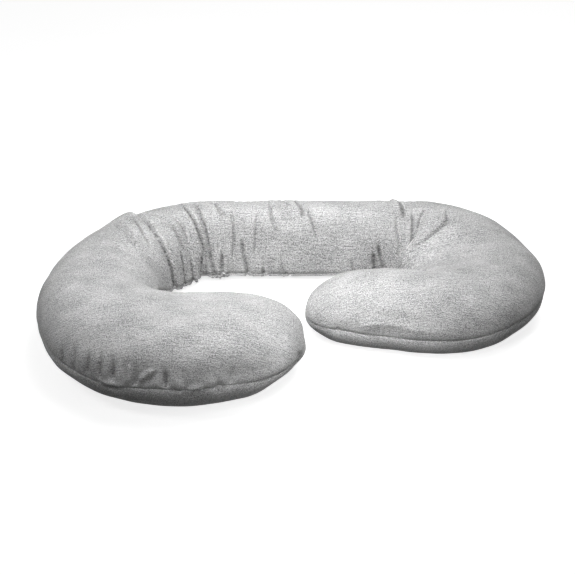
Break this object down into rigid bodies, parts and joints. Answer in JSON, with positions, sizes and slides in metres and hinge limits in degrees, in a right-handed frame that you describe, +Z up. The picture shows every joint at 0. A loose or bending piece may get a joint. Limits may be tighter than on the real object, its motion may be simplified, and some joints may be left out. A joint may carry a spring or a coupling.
{
  "type": "nursing pillow",
  "caption": "C-shaped nursing pillow: a fat bead-filled tube whose two arms curl in towards each other, in a zipped heather-grey knitted cover with a seam round its side.",
  "frame": {"origin": "middle of the box's underside, on the surface that the pillow lies on", "axes": "+X to the right along the pillow's length as seen from its open side, +Y towards the closed back, +Z up"},
  "size_m": [1.1064, 0.7134, 0.172],
  "materials": {
    "cover_jersey": "heather-grey knitted jersey",
    "sewing_thread": "matt polyester thread",
    "case_cotton": "plain white cotton",
    "bead_fill": "loose white foam micro-beads",
    "zip_tape": "woven tape",
    "zip_coil": "nylon coil",
    "zip_metal": "satin nickel plate",
    "label_satin": "woven satin tape, blank"
  },
  "bodies": {
    "pillow": {"cover_top_panel": "cover_jersey", "cover_bottom_panel": "cover_jersey", "cover_seam_thread": "sewing_thread", "case_top_panel": "case_cotton", "case_bottom_panel": "case_cotton", "case_seam_thread": "sewing_thread", "bead_filling": "bead_fill", "zip_upper_tape": "zip_tape", "zip_lower_tape": "zip_tape", "zip_upper_coil": "zip_coil", "zip_lower_coil": "zip_coil", "zip_top_stops": "zip_metal", "zip_bottom_stop": "zip_metal", "care_label": "label_satin"},
    "slider": {"zip_slider": "zip_metal"},
    "pull_tab": {"zip_pull_tab": "zip_metal"}
  },
  "joints": [
    {"name": "zip_slide", "type": "slide", "parent": "pillow", "child": "slider", "axis": [-1, 0, 0], "range_m": [0, 0.35]},
    {"name": "pull_tab_hinge", "type": "hinge", "parent": "slider", "child": "pull_tab", "pos_m": [0.23742, 0.35325, 0.07224], "axis": [0, 0, -1], "range_deg": [0, 150]}
  ]
}
